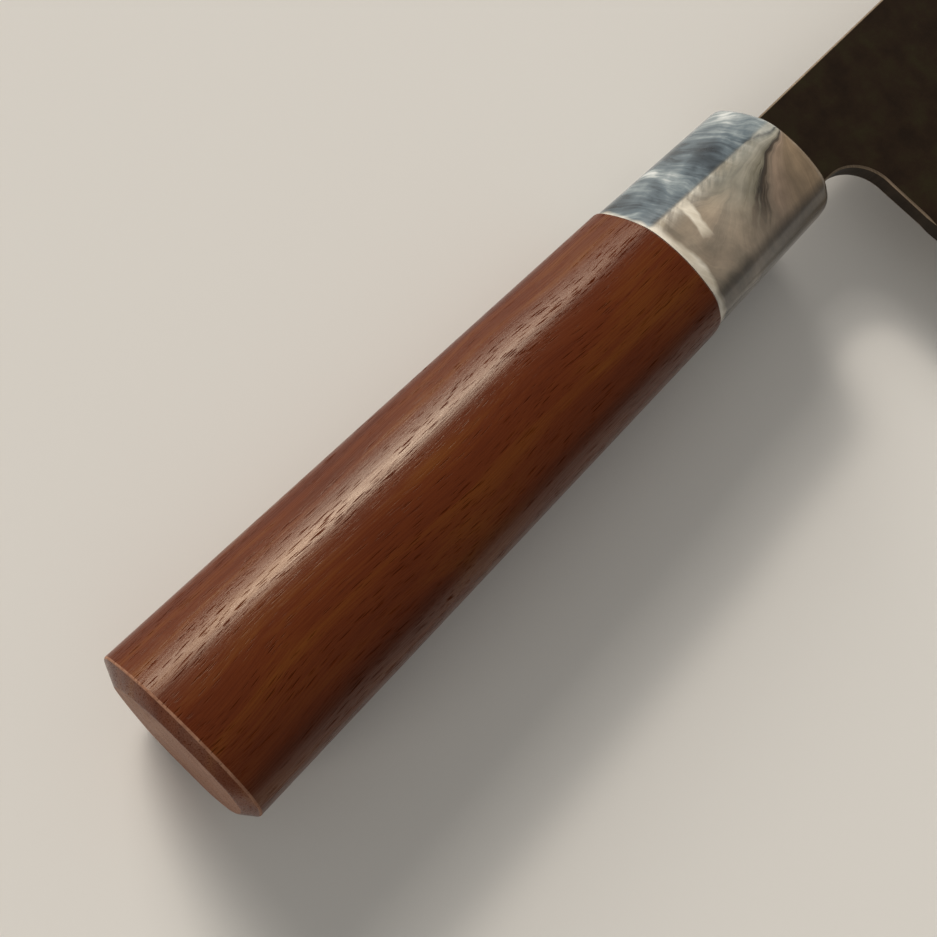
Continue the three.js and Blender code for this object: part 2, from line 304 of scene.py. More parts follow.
@dataclass(frozen=True)
class OiledHardwood(Finish):
    """Reddish open-pored hardwood, planed to an octagon and oiled.

    The eye sees red-brown wood with straw-brown bands, short dark pore lines along the grain and a
    satin gloss that the pores break up. Across the grain the pores are dots, and the wood is paler
    with faint growth rings; that paleness is partly the cut wood's own and partly a painted sheen.
    Paler wood on the butt's rounded rim is a painted highlight.
    """

    deep: str = "#481a09"
    middle: str = "#56240b"
    straw: str = "#66370f"
    pore: str = "#2a1006"
    # pale and pale_share: paler wood, partly the end grain's own colour and partly painted sheen;
    # on the butt's rim a painted highlight
    pale: str = "#97705a"
    gloss: str = "#ffecd4"
    pale_share: float = 0.0
    pale_spread: float = 0.25
    pale_roughness: float = 0.4
    roughness: float = 0.16
    pore_roughness: float = 0.35
    fibre_roughness: float = 0.24
    specular: float = 0.28
    pith: Size = (0.0, -34.0, 46.0)
    pith_lean: Size = (25.0, 1.0, 1.0)
    sway: float = 5.0
    sway_length: float = 40.0
    band_width: float = 2.4
    ring_width: float = 0.9
    fibre: Size = (12.0, 0.2, 0.2)
    fibre_height: float = 0.8
    pore_cells: tuple[Size, ...] = ((6.5, 0.4, 0.4), (4.0, 0.25, 0.25))
    pore_core: float = 0.1
    pore_rims: tuple[float, ...] = (0.27, 0.3)
    pore_shares: tuple[float, ...] = (1.0, 0.8)
    pore_crowd: Size = (30.0, 2.4, 2.4)
    crowd_range: Point = (0.36, 0.56)
    sparse_share: float = 0.3
    dull_pore: float = 0.5
    pore_darkness: float = 0.6
    pore_depth: float = 0.07
    relief: float = 0.38
    patch: Size = (26.0, 7.0, 7.0)
    patch_weight: float = 0.4
    band_weight: float = 0.35
    fibre_weight: float = 0.25
    stain: Size = (5.0, 3.5, 2.0)
    stain_range: Point = (0.35, 0.65)

    def dress(self, tree: NodeTree) -> tuple[Settings, Links]:
        """Adds bands, fibres and pores to colour, gloss and relief.

        Args:
            tree: Node tree of the material.

        Returns:
            What the shader's sockets are set to, and what feeds those that a pattern drives.
        """
        grain = self.grain(tree)
        cells = self.stretched(tree, grain, self.fibre)
        lines: Settings = {"Scale": 1.0, "Detail": 3.0, "Roughness": 0.6}
        fibres = add_node(tree, Kind.NOISE, lines, {"Vector": cells})
        pores = self.pores(tree, grain)
        radius = self.radius(tree, grain)
        colour = self.bands(tree, grain, radius, fibres)
        roughness = self.roughness
        # Paler wood: partly the end grain's own colour, partly painted sheen, and on the butt's rim
        # a painted highlight
        if self.pale_share:
            colour = self.paled_wood_and_painted_sheen(tree, grain, radius, colour)
            roughness += self.pale_roughness * self.pale_share
        dark = self.summed(tree, 0.0, (pores, self.pore_darkness))
        sheen = ((pores, self.pore_roughness), (fibres, self.fibre_roughness))
        height = self.summed(tree, 0.0, (fibres, self.fibre_height), (pores, -1.0))
        depth: Settings = {"Strength": self.relief, "Distance": self.pore_depth * MM}
        shine = limits(0.0, self.dull_pore, self.specular, 0.0)
        between: Settings = {
            "Specular IOR Level": self.specular,
            "Specular Tint": linear(self.gloss),
        }
        return between, {
            "Base Color": self.layered(tree, colour, (self.pore, dark)),
            "Roughness": self.summed(tree, roughness, *sheen),
            "Specular IOR Level": add_node(tree, Kind.RANGE, shine, {"Value": pores}),
            "Normal": add_node(tree, Kind.BUMP, depth, {"Height": height}),
        }

    def grain(self, tree: NodeTree) -> Source:
        """Adds coordinates along the grain, which sways a little on its way.

        Args:
            tree: Node tree of the material.

        Returns:
            The source of the coordinates.
        """
        place_mm = self.millimetres(tree)
        drift: Settings = {"Scale": 1 / self.sway_length, "Detail": 1.0}
        sway = add_node(tree, Kind.NOISE, drift, {"Vector": place_mm}).outputs["Color"]
        bend: Settings = {"operation": "MULTIPLY_ADD", 1: (0.0, self.sway, self.sway)}
        return add_node(tree, Kind.VECTOR, bend, {0: sway, 2: place_mm})

    def radius(self, tree: NodeTree, grain: Source) -> Source:
        """Adds the distance from the tree's pith, along which the growth bands follow one another.

        Args:
            tree: Node tree of the material.
            grain: Coordinates along the grain.

        Returns:
            The source of the distance.
        """
        flat = self.stretched(tree, grain, self.pith_lean)
        settings: Settings = {"operation": "DISTANCE", 1: self.pith}
        return add_node(tree, Kind.VECTOR, settings, {0: flat}).outputs["Value"]

    def pores(self, tree: NodeTree, grain: Source) -> Source:
        """Adds open pores, denser in some bands than in others.

        Args:
            tree: Node tree of the material.
            grain: Coordinates along the grain.

        Returns:
            The source of a value that is 1 in a pore and 0 beside it.
        """
        layers = []
        for size, rim, share in zip(self.pore_cells, self.pore_rims, self.pore_shares):
            cells = self.stretched(tree, grain, size)
            spindle = add_node(tree, Kind.VORONOI, {"Scale": 1.0}, {"Vector": cells})
            fade: Settings = {"interpolation_type": "SMOOTHSTEP"}
            fade |= limits(self.pore_core, rim, share, 0.0)
            layers.append(add_node(tree, Kind.RANGE, fade, {"Value": spindle.outputs["Distance"]}))
        both = add_node(tree, Kind.MATH, {"operation": "MAXIMUM"}, {0: layers[0], 1: layers[1]})
        zones = self.stretched(tree, grain, self.pore_crowd)
        crowd = add_node(tree, Kind.NOISE, {"Scale": 1.0, "Detail": 1.0}, {"Vector": zones})
        dense = limits(*self.crowd_range, self.sparse_share, 1.0)
        shown = add_node(tree, Kind.RANGE, dense, {"Value": crowd})
        return add_node(tree, Kind.MATH, {"operation": "MULTIPLY"}, {0: both, 1: shown})

    def bands(self, tree: NodeTree, grain: Source, radius: Source, fibres: Source) -> Source:
        """Adds the colour of the growth bands, streaked by the fibres.

        Args:
            tree: Node tree of the material.
            grain: Coordinates along the grain.
            radius: Distance from the pith.
            fibres: Fine lines along the grain.

        Returns:
            The source of the colour.
        """
        years: Settings = {"noise_dimensions": "1D", "Scale": 1 / self.band_width, "Detail": 2.0}
        growth = add_node(tree, Kind.NOISE, years, {"W": radius})
        patches = self.stretched(tree, grain, self.patch)
        drift = add_node(tree, Kind.NOISE, {"Scale": 1.0, "Detail": 2.0}, {"Vector": patches})
        parts = (
            (drift, self.patch_weight),
            (growth, self.band_weight),
            (fibres, self.fibre_weight),
        )
        streaked = self.summed(tree, 0.0, *parts)
        stops = ((0.34, self.deep), (0.5, self.middle), (0.66, self.straw))
        return add_node(tree, Kind.RAMP, {"stops": stops}, {0: streaked})

    def paled_wood_and_painted_sheen(self, tree: NodeTree, grain: Source, radius: Source, colour: Source) -> Source:
        """Adds the paler colour of wood that was cut across and took up the oil unevenly.

        The paleness is partly the end grain's own and partly a painted sheen; on the butt's rounded
        rim it is a painted highlight.

        Args:
            tree: Node tree of the material.
            grain: Coordinates along the grain.
            radius: Distance from the pith.
            colour: Colour of the wood along the grain.

        Returns:
            The source of the colour.
        """
        years: Settings = {"noise_dimensions": "1D", "Scale": 1 / self.ring_width, "Detail": 2.0}
        rings = add_node(tree, Kind.NOISE, years, {"W": radius})
        cells = self.stretched(tree, grain, self.stain)
        spots: Settings = {"Scale": 1.0, "Detail": 4.0, "Roughness": 0.6}
        stains = add_node(tree, Kind.NOISE, spots, {"Vector": cells})
        both = self.summed(tree, 0.0, (rings, 0.5), (stains, 0.5))
        lowest, highest = self.pale_share - self.pale_spread, self.pale_share + self.pale_spread
        uneven = limits(*self.stain_range, lowest, highest)
        share = add_node(tree, Kind.RANGE, uneven, {"Value": both})
        return self.layered(tree, colour, (self.pale, share))


@dataclass(frozen=True)
class Fold:
    """Place where the resin's sheets are pinched, with the feather lines that run out from it."""

    middle: Size
    reach: float
    share: float
    bend: float
    first_angle: float
    last_angle: float
    line_width: float
    line_length: float
    wander: float
    stops: Stops
    hair: Size = (0.06, 16.0, 1.0)
    hair_gain: Point = (0.86, 1.12)
    root: Point = (-0.9, 0.2)

    def feather(self, tree: NodeTree, place_mm: Source) -> tuple[Source, Source]:
        """Adds the feather lines.

        Args:
            tree: Node tree of the material.
            place_mm: Coordinates in millimetres.

        Returns:
            The sources of the feather's colour and of how much of it shows.
        """
        away = add_node(tree, Kind.VECTOR, {"operation": "SUBTRACT", 1: self.middle}, {0: place_mm})
        turned: Settings = {"operation": "MULTIPLY", 1: (-1.0, -1.0, 0.0)}
        back = add_node(tree, Kind.VECTOR, turned, {0: away})
        run, rise, _ = add_node(tree, Kind.SPLIT, links={0: back}).outputs
        span = add_node(tree, Kind.VECTOR, {"operation": "LENGTH"}, {0: back}).outputs["Value"]
        angle = add_node(tree, Kind.MATH, {"operation": "ARCTAN2"}, {0: rise, 1: run})
        curved = self.curved(tree, angle, span)
        polar = add_node(tree, Kind.JOIN, links={0: curved, 1: span})
        cells = Finish.stretched(tree, polar, (self.line_width, self.line_length, 1.0))
        fine: Settings = {"Scale": 1.0, "Detail": 4.0, "Roughness": 0.65}
        lines = add_node(tree, Kind.NOISE, fine, {"Vector": cells})
        shifted = Finish.summed(tree, -self.wander / 2, (curved, 1.0), (lines, self.wander))
        fan = limits(self.first_angle, self.last_angle)
        share = add_node(tree, Kind.RANGE, fan, {"Value": shifted})
        ramp = add_node(tree, Kind.RAMP, {"stops": self.stops}, {0: share})
        cells = Finish.stretched(tree, polar, self.hair)
        finer: Settings = {"Scale": 1.0, "Detail": 3.0, "Roughness": 0.7}
        hairs = add_node(tree, Kind.NOISE, finer, {"Vector": cells})
        colour = Finish.shaded(tree, ramp, hairs, *self.hair_gain)
        fade: Settings = {"interpolation_type": "SMOOTHSTEP"}
        fade |= limits(self.reach / 2, self.reach, self.share, 0.0)
        near = add_node(tree, Kind.RANGE, fade, {"Value": span})
        behind = add_node(tree, Kind.RANGE, limits(*self.root), {"Value": run})
        return colour, add_node(tree, Kind.MATH, {"operation": "MULTIPLY"}, {0: near, 1: behind})

    def curved(self, tree: NodeTree, angle: Source, span: Source) -> Source:
        """Adds the angle at which a bent feather line left the fold."""
        return Finish.summed(tree, 0.0, (angle, 1.0), (span, -self.bend))


@dataclass(frozen=True)
class MarbledResin(Finish):
    """Cast resin with pearl pigment folded through it, sanded and polished.

    The eye sees silky sheets that lie across the handle, slate and white towards the spine and warm
    grey on the broad faces, feather lines that fan out from folds, a pale bar and a cream layer at
    the joint, all under a clear gloss. The slate towards the spine is partly pigment and partly
    painted cool light; pale strokes along the arris are a painted highlight; the darkening towards
    the edge is painted shade.
    """

    layers: Stops = (
        (0.0, 0.62),
        (0.06, 0.36),
        (0.16, 0.5),
        (0.26, 0.46),
        (0.34, 0.66),
        (0.44, 0.5),
        (0.58, 0.32),
        (0.7, 0.44),
        (0.84, 0.7),
        (1.0, 0.6),
    )
    # Slate colours of the spine side: partly pigment, partly painted cool light
    cool_stops: Stops = (
        (0.36, "#171e24"),
        (0.43, "#39434a"),
        (0.5, "#57636a"),
        (0.56, "#7d878a"),
        (0.64, "#c6c9c7"),
    )
    warm_stops: Stops = (
        (0.3, "#5f584c"),
        (0.44, "#857a6b"),
        (0.55, "#9a8b79"),
        (0.7, "#bbab94"),
    )
    pale_stops: Stops = ((0.35, "#b9ab93"), (0.6, "#f6f0e2"))
    folds: tuple[Fold, ...] = (
        Fold(
            middle=(111.6, 1.4, 9.8),
            reach=15.0,
            share=0.6,
            bend=-0.02,
            first_angle=-1.5,
            last_angle=1.5,
            line_width=0.16,
            line_length=12.0,
            wander=0.9,
            stops=(
                (0.1, "#8f8a7c"),
                (0.3, "#9d9382"),
                (0.42, "#7f776a"),
                (0.5, "#a89a86"),
                (0.62, "#a39380"),
                (0.7, "#7c7265"),
                (0.8, "#a19280"),
            ),
        ),
        Fold(
            middle=(126.0, 2.7, 9.2),
            reach=22.0,
            share=0.95,
            bend=0.018,
            first_angle=-0.8,
            last_angle=1.2,
            line_width=0.07,
            line_length=10.0,
            wander=0.4,
            stops=(
                (0.0, "#a6a69d"),
                (0.09, "#767974"),
                (0.125, "#2f3231"),
                (0.16, "#3b3d39"),
                (0.22, "#807f73"),
                (0.34, "#9b9688"),
                (0.45, "#716c5d"),
                (0.495, "#2b2621"),
                (0.53, "#352b22"),
                (0.575, "#6d6154"),
                (0.64, "#8b7867"),
                (0.8, "#7b6a56"),
                (1.0, "#8a765e"),
            ),
        ),
    )
    roughness: float = 0.24
    specular: float = 0.4
    coat: float = 0.3
    coat_roughness: float = 0.12
    joint: float = 97.0
    joint_layer: float = 2.7
    joint_wave: float = 2.4
    joint_thinning: float = 1.1
    joint_fade: Point = (-0.5, 0.4)
    joint_share: float = 0.85
    sheet: Size = (0.9, 8.0, 8.0)
    sheet_turn: float = 0.4
    swirl: Size = (9.0, 4.0, 4.0)
    swirl_length: float = 12.0
    first_sheet: float = 4.5
    last_sheet: float = 34.5
    layer_weight: float = 0.4
    strand_weight: float = 0.3
    cloud_weight: float = 0.3
    cloud_size: float = 4.0
    cloud_gain: Point = (0.78, 1.14)
    ripple: Size = (3.0, 3.0, 0.0)
    wave_length: float = 5.0
    arris: Size = (0.0233, 1.0, 0.0)
    arris_height: float = 7.5
    border: Point = (-3.5, 0.5)
    border_wave: float = 9.0
    border_calm: Point = (3.0, 8.5)
    border_stops: Stops = ((0.1, 0.0), (0.8, 0.35), (1.0, 1.0))
    # Pale strokes along the arris: a painted highlight, broken up by noise
    stroke: Size = (3.5, 0.6, 0.6)
    stroke_turn: float = 0.55
    stroke_gain: Point = (0.2, 1.0)
    stroke_band: Point = (-3.2, 0.5)
    stroke_run: Point = (8.0, 29.0)
    stroke_shares: Point = (0.95, 0.25)
    stroke_stops: Stops = ((0.25, 0.0), (0.74, 0.6), (0.8, 0.8), (0.9, 0.0))
    # Painted shade: the resin is darkened below the edge-side arris
    edge_shade_range: Point = (-8.6, -7.0)
    edge_painted_shade: float = 0.5
    bar_middle: Size = (103.95, 2.25, 9.6)
    bar_size: Size = (0.95, 3.2, 30.0)
    bar_turn: float = -0.24
    bar_fray: Size = (0.9, 0.9, 0.0)
    bar_fray_length: float = 2.0
    bar_border: Point = (0.6, 1.1)
    bar_share_inside: float = 0.9

    def dress(self, tree: NodeTree) -> tuple[Settings, Links]:
        """Adds sheets, feathers, bar and joint layer to the colour, with painted cool light on the
        spine side, a painted highlight along the arris and painted shade towards the edge.

        Args:
            tree: Node tree of the material.

        Returns:
            What the shader's sockets are set to, and what feeds those that a pattern drives.
        """
        place_mm = self.millimetres(tree)
        x, y, z = add_node(tree, Kind.SPLIT, links={0: place_mm}).outputs
        sheets = self.sheets(tree, place_mm)
        warm, cool, pale = (
            add_node(tree, Kind.RAMP, {"stops": stops}, {0: sheets})
            for stops in (self.warm_stops, self.cool_stops, self.pale_stops)
        )
        waves: Settings = {"Scale": 1 / self.wave_length, "Detail": 2.0}
        wave = add_node(tree, Kind.NOISE, waves, {"Vector": place_mm})
        middle: Settings = {"operation": "SUBTRACT", 1: (0.5, 0.5, 0.5)}
        centred = add_node(tree, Kind.VECTOR, middle, {0: wave.outputs["Color"]})
        bend: Settings = {"operation": "MULTIPLY_ADD", 1: self.ripple}
        rippled = add_node(tree, Kind.VECTOR, bend, {0: centred, 2: place_mm})
        feathers = [fold.feather(tree, rippled) for fold in self.folds]
        colour = self.layered(tree, warm, *feathers)
        clouds: Settings = {"Scale": 1 / self.cloud_size, "Detail": 4.0}
        cloud = add_node(tree, Kind.NOISE, clouds, {"Vector": place_mm})
        colour = self.shaded(tree, colour, cloud, *self.cloud_gain)
        # Painted shade towards the edge side
        darker = limits(*self.edge_shade_range, self.edge_painted_shade, 1.0)
        depth = add_node(tree, Kind.RANGE, darker, {"Value": y})
        colour = add_node(tree, Kind.VECTOR, {"operation": "SCALE"}, {0: colour, "Scale": depth})
        rise: Settings = {"operation": "DOT_PRODUCT", 1: self.arris}
        height = add_node(tree, Kind.VECTOR, rise, {0: place_mm}).outputs["Value"]
        # Slate share of the spine side: partly pigment, partly painted cool light
        spine = self.spine_share(tree, place_mm, height, z)
        past = ((x, 1.0), (wave, self.joint_wave), (spine, self.joint_thinning))
        front = self.joint + self.joint_layer
        first, last = self.joint_fade
        fade = limits(front + first, front + last, self.joint_share, 0.0)
        joint = add_node(tree, Kind.RANGE, fade, {"Value": self.summed(tree, 0.0, *past)})
        # Painted highlight along the arris, in pale strokes
        arris_highlight = self.painted_arris_highlight_share(tree, place_mm, height, x)
        bar = self.bar_share(tree, place_mm)
        over = ((cool, spine), (pale, arris_highlight), (pale, bar), (pale, joint))
        settings: Settings = {
            "Roughness": self.roughness,
            "Specular IOR Level": self.specular,
            "Coat Weight": self.coat,
            "Coat Roughness": self.coat_roughness,
        }
        return settings, {"Base Color": self.layered(tree, colour, *over)}

    def sheets(self, tree: NodeTree, place_mm: Source) -> Source:
        """Adds folded sheets of pigment.

        Args:
            tree: Node tree of the material.
            place_mm: Coordinates in millimetres.

        Returns:
            The source of the sheets, from 0 to 1.
        """
        swirls: Settings = {"Scale": 1 / self.swirl_length, "Detail": 2.0}
        swirl = add_node(tree, Kind.NOISE, swirls, {"Vector": place_mm}).outputs["Color"]
        bend: Settings = {"operation": "MULTIPLY_ADD", 1: self.swirl}
        bent = add_node(tree, Kind.VECTOR, bend, {0: swirl, 2: place_mm})
        cells = self.stretched(tree, bent, self.sheet, self.sheet_turn)
        fine: Settings = {"Scale": 1.0, "Detail": 5.0, "Roughness": 0.6}
        strands = add_node(tree, Kind.NOISE, fine, {"Vector": cells})
        clouds: Settings = {"Scale": 1 / self.cloud_size, "Detail": 4.0}
        cloud = add_node(tree, Kind.NOISE, clouds, {"Vector": bent})
        along = add_node(tree, Kind.SPLIT, links={0: bent}).outputs[0]
        ends = limits(self.joint + self.first_sheet, self.joint + self.last_sheet)
        run = add_node(tree, Kind.RANGE, ends, {"Value": along})
        layers = add_node(tree, Kind.RAMP, {"stops": self.layers}, {0: run})
        parts = (
            (layers, self.layer_weight),
            (strands, self.strand_weight),
            (cloud, self.cloud_weight),
        )
        return self.summed(tree, 0.0, *parts)

    def spine_share(self, tree: NodeTree, place_mm: Source, height: Source, z: Source) -> Source:
        """Adds the share of slate colour, partly pigment and partly painted cool light on the spine
        side, with a border that is wavy below the arris.

        Args:
            tree: Node tree of the material.
            place_mm: Coordinates in millimetres.
            height: Height towards the spine, measured square to the arris.
            z: Height over the handle's axis.

        Returns:
            The source of a value that is 1 on the spine side of the arris and fades beyond it.
        """
        calm = limits(*self.border_calm, self.border_wave, 0.0)
        below = add_node(tree, Kind.RANGE, calm, {"Value": z})
        waves: Settings = {"Scale": 1 / self.wave_length, "Detail": 3.0}
        drift = add_node(tree, Kind.NOISE, waves, {"Vector": place_mm})
        centred = self.summed(tree, -0.5, (drift, 1.0))
        shift: Settings = {"operation": "MULTIPLY_ADD"}
        wavy = add_node(tree, Kind.MATH, shift, {0: centred, 1: below, 2: height})
        first, last = self.border
        band = limits(self.arris_height + first, self.arris_height + last)
        across = add_node(tree, Kind.RANGE, band, {"Value": wavy})
        return add_node(tree, Kind.RAMP, {"stops": self.border_stops}, {0: across})

    def painted_arris_highlight_share(self, tree: NodeTree, place_mm: Source, height: Source, x: Source) -> Source:
        """Adds the share of the painted highlight along the arris, in pale strokes strongest near
        the joint.

        Args:
            tree: Node tree of the material.
            place_mm: Coordinates in millimetres.
            height: Height towards the spine, measured square to the arris.
            x: Place along the handle.

        Returns:
            The source of the share.
        """
        first, last = self.stroke_band
        band = limits(self.arris_height + first, self.arris_height + last)
        across = add_node(tree, Kind.RANGE, band, {"Value": height})
        line = add_node(tree, Kind.RAMP, {"stops": self.stroke_stops}, {0: across})
        cells = self.stretched(tree, place_mm, self.stroke, self.stroke_turn)
        broken = add_node(tree, Kind.NOISE, {"Scale": 1.0, "Detail": 2.0}, {"Vector": cells})
        arris_highlight = self.shaded(tree, line, broken, *self.stroke_gain)
        start, end = self.stroke_run
        run = limits(self.joint + start, self.joint + end, *self.stroke_shares)
        fade = add_node(tree, Kind.RANGE, run, {"Value": x})
        return add_node(tree, Kind.MATH, {"operation": "MULTIPLY"}, {0: arris_highlight, 1: fade})

    def bar_share(self, tree: NodeTree, place_mm: Source) -> Source:
        """Adds the share of the pale bar.

        Args:
            tree: Node tree of the material.
            place_mm: Coordinates in millimetres.

        Returns:
            The source of the share.
        """
        ragged: Settings = {"Scale": 1 / self.bar_fray_length, "Detail": 1.0}
        fray = add_node(tree, Kind.NOISE, ragged, {"Vector": place_mm})
        shift: Settings = {"operation": "MULTIPLY_ADD", 1: self.bar_fray}
        frayed = add_node(tree, Kind.VECTOR, shift, {0: fray.outputs["Color"], 2: place_mm})
        lying: Settings = {
            "vector_type": "TEXTURE",
            "Location": self.bar_middle,
            "Rotation": (0.0, 0.0, self.bar_turn),
            "Scale": self.bar_size,
        }
        bar = add_node(tree, Kind.MAPPING, lying, {"Vector": frayed})
        sides = add_node(tree, Kind.VECTOR, {"operation": "ABSOLUTE"}, {0: bar})
        across, along, _ = add_node(tree, Kind.SPLIT, links={0: sides}).outputs
        span = add_node(tree, Kind.MATH, {"operation": "MAXIMUM"}, {0: across, 1: along})
        fade = limits(*self.bar_border, self.bar_share_inside, 0.0)
        return add_node(tree, Kind.RANGE, fade, {"Value": span})


@dataclass(frozen=True)
class ForgedIron(Finish):
    """Soft iron with the dark skin that forging and quenching leave on it.

    The eye sees a matte olive-brown skin with faint lighter and greener patches and fine grain.
    """

    stops: Stops = ((0.32, "#20150b"), (0.5, "#281c10"), (0.68, "#2c2514"))
    patch_size: float = 5.0
    grit_size: float = 0.5
    grit_depth: float = 0.06
    grit_range: Point = (0.3, 0.7)
    patch_height: float = 2.0
    relief: float = 0.3
    low_roughness: float = 0.5
    high_roughness: float = 0.66
    metallic: float = 0.25
    specular: float = 0.15

    def dress(self, tree: NodeTree) -> tuple[Settings, Links]:
        """Adds patches, grain and relief.

        Args:
            tree: Node tree of the material.

        Returns:
            What the shader's sockets are set to, and what feeds those that a pattern drives.
        """
        place_mm = self.millimetres(tree)
        coarse: Settings = {"Scale": 1 / self.patch_size, "Detail": 5.0, "Roughness": 0.6}
        patches = add_node(tree, Kind.NOISE, coarse, {"Vector": place_mm})
        fine: Settings = {"Scale": 1 / self.grit_size, "Detail": 3.0}
        grit = add_node(tree, Kind.NOISE, fine, {"Vector": place_mm})
        gloss = limits(*self.grit_range, self.low_roughness, self.high_roughness)
        height = self.summed(tree, 0.0, (patches, self.patch_height), (grit, 1.0))
        depth: Settings = {"Strength": self.relief, "Distance": self.grit_depth * MM}
        return {"Metallic": self.metallic, "Specular IOR Level": self.specular}, {
            "Base Color": add_node(tree, Kind.RAMP, {"stops": self.stops}, {0: patches}),
            "Roughness": add_node(tree, Kind.RANGE, gloss, {"Value": grit}),
            "Normal": add_node(tree, Kind.BUMP, depth, {"Height": height}),
        }


@dataclass(frozen=True)
class GroundSteel(Finish):
    """Metal ground on a stone and left with the stone's fine lines.

    The eye sees a grey metal with short fine lines across the edge and a soft, streaky gloss.
    """

    light: str
    shade: str
    roughness: float
    metallic: float = 0.7
    line: Size = (0.14, 6.0, 6.0)
    line_depth: float = 0.02
    line_roughness: float = 0.16
    relief: float = 0.12

    def dress(self, tree: NodeTree) -> tuple[Settings, Links]:
        """Adds the grinding lines to colour, gloss and relief.

        Args:
            tree: Node tree of the material.

        Returns:
            What the shader's sockets are set to, and what feeds those that a pattern drives.
        """
        place_mm = self.millimetres(tree)
        cells = self.stretched(tree, place_mm, self.line)
        lines = add_node(tree, Kind.NOISE, {"Scale": 1.0, "Detail": 3.0}, {"Vector": cells})
        smoothest = self.roughness - self.line_roughness / 2
        depth: Settings = {"Strength": self.relief, "Distance": self.line_depth * MM}
        return {"Metallic": self.metallic}, {
            "Base Color": self.colour(tree, place_mm, lines),
            "Roughness": self.summed(tree, smoothest, (lines, self.line_roughness)),
            "Normal": add_node(tree, Kind.BUMP, depth, {"Height": lines}),
        }

    def colour(self, tree: NodeTree, place_mm: Source, lines: Source) -> Source:
        """Adds the colour of the ground metal.

        Args:
            tree: Node tree of the material.
            place_mm: Coordinates in millimetres; not used here.
            lines: The grinding lines.

        Returns:
            The source of the colour.
        """
        stops = two_tone(self.shade, self.light)
        return add_node(tree, Kind.RAMP, {"stops": stops}, {0: lines})


@dataclass(frozen=True)
class LayeredSteel(GroundSteel):
    """Ground metal below the ragged border of the layer that lies over it.

    The eye sees the ground metal towards the edge, a wavy line and the other layer beyond the line:
    dull iron over bright core steel, or dark forge skin over ground iron.
    """

    over_light: str = "#94918b"
    over_shade: str = "#7d7a74"
    seam: str = "#4a4743"
    seam_share: float = 0.6
    seam_width: float = 0.28
    border: float = -40.1
    blur: float = 0.1
    wave: float = 3.0
    wave_length: float = 8.0

    def colour(self, tree: NodeTree, place_mm: Source, lines: Source) -> Source:
        """Adds the colours of the metal below the border, of the layer above it and of the line.

        Args:
            tree: Node tree of the material.
            place_mm: Coordinates in millimetres.
            lines: The grinding lines.

        Returns:
            The source of the colour.
        """
        metal = super().colour(tree, place_mm, lines)
        stops = two_tone(self.over_shade, self.over_light)
        layer = add_node(tree, Kind.RAMP, {"stops": stops}, {0: lines})
        waves: Settings = {"Scale": 1 / self.wave_length, "Detail": 3.0}
        wave = add_node(tree, Kind.NOISE, waves, {"Vector": place_mm})
        rise = add_node(tree, Kind.SPLIT, links={0: place_mm}).outputs[1]
        height = self.summed(tree, -self.wave / 2, (rise, 1.0), (wave, self.wave))
        step = limits(self.border - self.blur, self.border + self.blur)
        over = add_node(tree, Kind.RANGE, step, {"Value": height})
        line: Settings = {"operation": "COMPARE", 1: self.border, 2: self.seam_width / 2}
        near = add_node(tree, Kind.MATH, line, {0: height})
        seam = self.summed(tree, 0.0, (near, self.seam_share))
        return self.layered(tree, metal, (layer, over), (self.seam, seam))


@dataclass(frozen=True)
class PlainFill(Finish):
    """Plain filling or inner wood with a slight unevenness of colour."""

    light: str
    dark: str
    roughness: float
    cell: Size

    def dress(self, tree: NodeTree) -> tuple[Settings, Links]:
        """Adds the uneven colour.

        Args:
            tree: Node tree of the material.

        Returns:
            What the shader's sockets are set to, and what feeds those that a pattern drives.
        """
        cells = self.stretched(tree, self.millimetres(tree), self.cell)
        cloud = add_node(tree, Kind.NOISE, {"Scale": 1.0, "Detail": 3.0}, {"Vector": cells})
        stops = two_tone(self.dark, self.light)
        colour = add_node(tree, Kind.RAMP, {"stops": stops}, {0: cloud})
        return {"Roughness": self.roughness}, {"Base Color": colour}


def ring_edges(bm: BMesh, ring: Ring) -> list[BMEdge]:
    """Edges that join a ring's vertices in turn."""
    return [bm.edges.get((a, b)) for a, b in zip(ring, ring[1:] + ring[:1])]


def first_ring(bm: BMesh, points: Sequence[Vector]) -> Ring:
    """Starts a skin with a closed ring.

    Args:
        bm: Mesh that gets the ring.
        points: Places of its vertices in turn.

    Returns:
        The ring's vertices in turn.
    """
    ring = bmesh.ops.create_circle(bm, segments=len(points), radius=1.0)["verts"]
    for vertex, point in zip(ring, points):
        vertex.co = point
    return ring


def next_ring(bm: BMesh, ring: Ring, points: Sequence[Vector]) -> Ring:
    """Carries a skin on from one ring to the next.

    Args:
        bm: Mesh that gets the skin.
        ring: The ring it is carried on from.
        points: Places of the new ring's vertices in turn.

    Returns:
        The new ring's vertices in turn.
    """
    made = bmesh.ops.extrude_edge_only(bm, edges=ring_edges(bm, ring))["geom"]
    fresh = {part for part in made if isinstance(part, BMVert)}
    carried = []
    for vertex, point in zip(ring, points):
        twin = next(o for o in (e.other_vert(vertex) for e in vertex.link_edges) if o in fresh)
        twin.co = point
        carried.append(twin)
    return carried


def cap(bm: BMesh, ring: Ring) -> None:
    """Closes a skin over a ring."""
    bmesh.ops.contextual_create(bm, geom=ring_edges(bm, ring))


def soften(bm: BMesh, edges: Sequence[BMEdge], width: float, segments: int = 3) -> list[BMFace]:
    """Rounds edges off.

    Args:
        bm: Mesh that holds the edges.
        edges: Edges to round.
        width: Width of the rounding in millimetres.
        segments: Faces across it.

    Returns:
        The faces of the rounding.
    """
    rounded = bmesh.ops.bevel(
        bm,
        geom=list(edges),
        offset=width * MM,
        offset_type="OFFSET",
        affect="EDGES",
        segments=segments,
        profile=0.5,
        material=-1,
    )
    return rounded["faces"]


